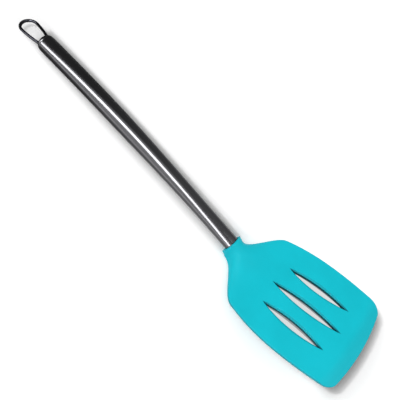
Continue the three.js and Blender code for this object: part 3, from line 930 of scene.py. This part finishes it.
# The ribbons beside the handle, and how much lower they hang past the loop and past the head
RIBBON_DISTANCE = 0.45
RIBBON_GAP = 0.02
RIBBON_RUN = (-0.62, 0.22)
RIBBON_MIDDLE = -0.13
RIBBON_REACH = 0.27
RIBBON_FOOT = 0.02
RIBBON_SWEEP = (math.radians(13.0), math.radians(36.0))
RIBBON_LOWEST = math.radians(80.0)
WALL_END = math.radians(95.0)
VEIL_SHARE = 0.7

# The panels past the head: name, half width, height, share of the strip's and of the wall's tone
END_RUN = (0.22, 1.4)
END_PANELS = (
    ("end light", 0.11, 0.55, 0.4, 0.0),
    ("end wall", 0.55, 0.57, 0.0, 0.8),
)

# The tent's tone over the head, and where its tone changes, in shares of its radius
TENT_NEAR = 0.30
TENT_RUN = (-0.6, 0.1)

# The dark flag: its width, place and edge, and its tones next to the head and at that edge
FLAG_WIDTH = 0.6
FLAG_PLACE = (-0.215, 0.0003)
FLAG_EDGE = 0.048
FLAG_NEAR = 0.65
FLAG_RUN = (-0.10, 0.05)
FLAG_TONE = 0.75
FLAG_SIDE = -0.020

SENSOR_WIDTH = 36.0
CLIP = (0.01, 50.0)
WHITE = (1.0, 1.0, 1.0, 1.0)


class TURNER_OT_stage(bpy.types.Operator):
    """Set up the floor, the flags, the lamps, the surroundings and the camera"""

    bl_idname = "turner.stage"
    bl_label = "Stage"

    def execute(self, context):
        stage = context.scene.turner_stage
        width, wall = stage.strip_width, stage.wall_level
        make_floor(stage)
        make_tent(stage)
        make_flag(stage)
        make_shades(context.scene)
        make_painted_slot_light(context.scene)
        make_world(stage)
        make_key(stage)
        make_ribbon(stage, "bright strip", 0, 0.0, width, stage.strip_level)
        make_ribbon(stage, "pale wall", 1, width / 2.0, None, wall)
        make_ribbon(stage, "dim veil", 2, -width, width, VEIL_SHARE * wall)
        near, far = END_RUN
        for name, half, height, strip_share, wall_share in END_PANELS:
            corners = ((near, -half), (far, -half), (far, half), (near, half))
            panel = make_card(name, [Vector((*corner, height)) for corner in corners])
            only_mirrored(panel, strip_share * stage.strip_level + wall_share * wall)
        make_camera(stage)
        context.scene.view_settings.view_transform = "Standard"
        return {"FINISHED"}


def looked_at(tree):
    """One for camera, mirror and glass rays, zero for the rays that light things"""
    path = add(tree, "LightPath").outputs
    seen = maths(tree, "MAXIMUM", path["Is Camera Ray"], path["Is Glossy Ray"])
    return maths(tree, "MAXIMUM", seen, path["Is Transmission Ray"])


def make_floor(stage):
    floor = added("floor", bpy.ops.mesh.primitive_plane_add, size=stage.floor_width)
    material, lift = floor_finish(stage, "white table")
    # The floor's lift, with painted shadow below the handle and before the front edge
    material.node_tree.links.new(lift_with_painted_shadow(material.node_tree, stage.floor_lift), lift)
    floor.data.materials.append(material)


def floor_finish(stage, name, level=0.0):
    """The floor's white, with some light of its own where it is looked at, and that light's input"""
    material, shader = new_finish(name, stage.floor_tint, FLOOR_ROUGHNESS)
    shader.inputs["Specular IOR Level"].default_value = 0.0
    tree = material.node_tree
    strength = maths(tree, "MULTIPLY", looked_at(tree), level)
    glow = add(tree, "Emission", {"Strength": strength})
    both = add(tree, "AddShader", {0: shader.outputs["BSDF"], 1: glow.outputs["Emission"]})
    tree.links.new(both.outputs["Shader"], tree.nodes["Material Output"].inputs["Surface"])
    return material, strength.node.inputs[1]


def make_painted_slot_light(scene):
    """Painted light where light falls through the slots: pale floor patches that glow where they are looked
    at
    """
    stage, sizes = scene.turner_stage, scene.turner_head
    material, _ = floor_finish(stage, "lit table", stage.painted_slot_light)
    right = Vector((0.0, -PATCH_SHIFT, 0.0))
    for side in (-1, 0, 1):
        plain = sizes.middle_slot if side == 0 else sizes.side_slot
        ring = slot_ring(sizes, side, plain + sizes.tip_chamfer, PATCH_WIDTH, sizes.thickness / 2.0)
        ring = seen_on_floor(stage, [head_frame() @ (point + right) for point in ring], PATCH_LEVEL)
        patch = make_card("slot light", ring)
        patch.data.materials.append(material)


def lift_with_painted_shadow(tree, level):
    """The floor's lift, fading out in a band below the handle and before the front edge as painted shadow"""
    place = add(tree, "TexCoord").outputs["Object"]
    parts = add(tree, "SeparateXYZ", {0: place}).outputs
    beside = maths(tree, "ABSOLUTE", maths(tree, "SUBTRACT", parts["Y"], LIFT_MIDDLE))
    squeezed = add(tree, "Mapping", {
        "Vector": place,
        "Location": (*(-at / reach for at, reach in zip(OVAL_PLACE, OVAL_REACH)), 0.0),
        "Scale": (*(1.0 / reach for reach in OVAL_REACH), 1.0),
    })
    away = add(tree, "VectorMath", {0: squeezed.outputs["Vector"]}, operation="LENGTH").outputs["Value"]
    front = mapped(tree, away, OVAL_RUN, (OVAL_LEFT, 1.0), "SMOOTHSTEP")
    beside, ahead, behind = (
        mapped(tree, value, run, kind="SMOOTHSTEP")
        for value, run in ((beside, LIFT_SIDES), (parts["X"], LIFT_HEAD), (parts["X"], LIFT_LOOP))
    )
    either = maths(tree, "MAXIMUM", maths(tree, "MAXIMUM", beside, ahead), behind)
    return maths(tree, "MULTIPLY", maths(tree, "MULTIPLY", either, front), level)


def hide_from(piece, *rays):
    for kind in rays:
        setattr(piece, "visible_" + kind, False)


def only_mirrored(piece, level):
    """A plain surface that is seen in polished steel and nowhere else"""
    material = bpy.data.materials.new(piece.name)
    material.use_nodes = True
    tree = material.node_tree
    glow = add(tree, "Emission", {"Strength": level})
    tree.links.new(glow.outputs["Emission"], tree.nodes["Material Output"].inputs["Surface"])
    piece.data.materials.append(material)
    hide_from(piece, "camera", "diffuse", "transmission", "volume_scatter", "shadow")


def make_ribbon(stage, name, row, lower_by, width, level):
    """A card that follows the highlight along the bent tube; with no width, down to the wall's end"""
    distance = RIBBON_DISTANCE + row * RIBBON_GAP
    points = []
    steps = 32
    for along in spread(*RIBBON_RUN, steps):
        sweep = RIBBON_SWEEP[along >= RIBBON_MIDDLE]
        angle = stage.strip_angle + sweep * ((along - RIBBON_MIDDLE) / RIBBON_REACH) ** 2
        angle = min(angle, RIBBON_LOWEST) + lower_by
        start, end = (angle, WALL_END) if width is None else (angle - width / 2.0, angle + width / 2.0)
        for turned in (start, (start + end) / 2.0, end):
            rise = RIBBON_FOOT + distance * math.cos(turned)
            points.append(Vector((along, -distance * math.sin(turned), rise)))
    ribbon = added(name, bpy.ops.mesh.primitive_grid_add, x_subdivisions=2, y_subdivisions=steps, size=1.0)
    move_to(ribbon.data.vertices, points)
    only_mirrored(ribbon, level)


def make_tent(stage):
    size, sides = stage.tent_radius, 48
    tent = added(
        "dark tent", bpy.ops.mesh.primitive_uv_sphere_add, segments=sides, ring_count=sides // 2, radius=size
    )
    only_mirrored(tent, stage.tent_level)
    grade(tent, "X", [edge * size for edge in TENT_RUN], (stage.tent_level, TENT_NEAR))


def grade(piece, axis, run, levels):
    """Lets a plain surface's tone change along an axis, on top of what it has already"""
    tree = piece.data.materials[0].node_tree
    parts = add(tree, "SeparateXYZ", {0: add(tree, "TexCoord").outputs["Object"]})
    level = mapped(tree, parts.outputs[axis], run, levels)
    strength = tree.nodes["Emission"].inputs["Strength"]
    if strength.is_linked:
        level = maths(tree, "ADD", strength.links[0].from_socket, level)
    tree.links.new(level, strength)


def make_flag(stage):
    flag = added("dark flag", bpy.ops.mesh.primitive_plane_add, size=FLAG_WIDTH)
    for vertex in flag.data.vertices:
        vertex.co += Vector((FLAG_PLACE[0], FLAG_WIDTH / 2.0 - FLAG_EDGE, FLAG_PLACE[1]))
    only_mirrored(flag, stage.flag_dark)
    grade(flag, "X", FLAG_RUN, (stage.flag_dark, FLAG_NEAR))
    grade(flag, "Y", (FLAG_SIDE, -FLAG_EDGE), (0.0, FLAG_TONE))


def make_shades(scene):
    """Smoked cards just over the floor, in the outlines that the camera sees of head and handle"""
    stage, handle = scene.turner_stage, scene.turner_handle
    rings = HeadForm(scene.turner_head, handle).sections()
    half = len(rings[0]) // 2
    edge = [ring[0] for ring in rings] + rings[-1][1:half] + [ring[half - 1] for ring in rings[-2::-1]]
    edge = seen_on_floor(stage, [head_frame() @ point for point in edge], SHADE_LEVEL)
    for point in edge:
        point.x += HEAD_SHIFT[0]
        point.y = blend(HEAD_MIDDLE, point.y, HEAD_SHARE) + HEAD_SHIFT[1]
    make_shade("head shade", edge)
    left, right = [], []
    for along in spread(0.0, handle.handle_length + HANDLE_REACH, steps=24):
        place = handle_place(along)
        centre = place.translation
        out = (place.to_3x3() @ Vector((0.0, 0.0, 1.0))).cross(Vector(stage.eye) - centre).normalized()
        out *= handle_radius(along) * HANDLE_SHARE
        left.append(centre + out)
        right.append(centre - out)
    edge = seen_on_floor(stage, left + right[::-1], SHADE_LEVEL)
    for point in edge:
        point.y += HANDLE_SHIFT
    make_shade("handle shade", edge)


def seen_on_floor(stage, points, level):
    """Where the camera's rays through these points meet a level"""
    eye = Vector(stage.eye)
    return [eye + (point - eye) * ((level - eye.z) / (point.z - eye.z)) for point in points]


def make_card(name, points):
    card = added(name, bpy.ops.mesh.primitive_circle_add, vertices=len(points), fill_type="NGON")
    move_to(card.data.vertices, points)
    return card


def make_shade(name, points):
    """A smoked card that is seen only by its shadow"""
    card = make_card(name, points)
    material, shader = new_finish(name, (0.0, 0.0, 0.0), 1.0)
    shader.inputs["Specular IOR Level"].default_value = 0.0
    shader.inputs["Alpha"].default_value = SHADE_DEPTH
    card.data.materials.append(material)
    hide_from(card, "camera", "glossy")


def make_world(stage):
    world = bpy.data.worlds.new("studio")
    world.use_nodes = True
    bpy.context.scene.world = world
    tree = world.node_tree
    plain = tree.nodes["Background"]
    plain.inputs["Color"].default_value = WHITE
    plain.inputs["Strength"].default_value = stage.world_level
    white = add(tree, "Background", {"Color": WHITE})
    inputs = {"Fac": looked_at(tree), 1: plain.outputs["Background"], 2: white.outputs["Background"]}
    mixed = add(tree, "MixShader", inputs)
    tree.links.new(mixed.outputs["Shader"], tree.nodes["World Output"].inputs["Surface"])


def make_key(stage):
    """A soft lamp high on the camera's left, which the steel doesn't mirror"""
    lamp = added("key", bpy.ops.object.light_add, type="AREA")
    lamp.data.shape = "RECTANGLE"
    lamp.data.size = lamp.data.size_y = KEY_SIZE
    lamp.data.energy = stage.key_power
    hide_from(lamp, "camera", "glossy")
    back = (Vector(KEY_PLACE) - Vector(KEY_TARGET)).normalized()
    across = (Vector((1.0, 0.0, 0.0)) - back * back.x).normalized()
    axes = Matrix((across, back.cross(across), back)).transposed()
    lamp.matrix_world = Matrix.Translation(KEY_PLACE) @ axes.to_4x4()


def make_camera(stage):
    camera = added("camera", bpy.ops.object.camera_add, location=stage.eye, rotation=stage.gaze)
    camera.data.lens = stage.lens
    camera.data.sensor_width = SENSOR_WIDTH
    camera.data.clip_start, camera.data.clip_end = CLIP
    bpy.context.scene.camera = camera


class TURNER_PT_sidebar(bpy.types.Panel):
    """Lists the pieces and their sizes"""

    bl_idname = "TURNER_PT_sidebar"
    bl_label = "Slotted Turner"
    bl_space_type = "VIEW_3D"
    bl_region_type = "UI"
    bl_category = "Turner"

    def draw(self, context):
        for operator in OPERATORS:
            self.layout.operator(operator.bl_idname)
        for name in GROUPS:
            box = self.layout.box()
            group = getattr(context.scene, name)
            for key in group.__annotations__:
                box.prop(group, key)


GROUPS = {
    "turner_head": HeadSizes,
    "turner_handle": HandleSizes,
    "turner_finishes": Finishes,
    "turner_stage": StageSizes,
}
OPERATORS = (
    TURNER_OT_stage,
    TURNER_OT_head,
    TURNER_OT_handle,
    TURNER_OT_cap,
    TURNER_OT_loop,
    TURNER_OT_core,
)
CLASSES = (*GROUPS.values(), *OPERATORS, TURNER_PT_sidebar)


def register():
    for cls in CLASSES:
        bpy.utils.register_class(cls)
    for name, group in GROUPS.items():
        setattr(bpy.types.Scene, name, PointerProperty(type=group))


def unregister():
    for name in GROUPS:
        delattr(bpy.types.Scene, name)
    for cls in reversed(CLASSES):
        bpy.utils.unregister_class(cls)


def main():
    register()
    bpy.ops.turner.stage()
    bpy.ops.turner.head()
    bpy.ops.turner.handle()
    bpy.ops.turner.cap()
    bpy.ops.turner.loop()
    bpy.ops.turner.core()


if __name__ == "__main__":
    main()
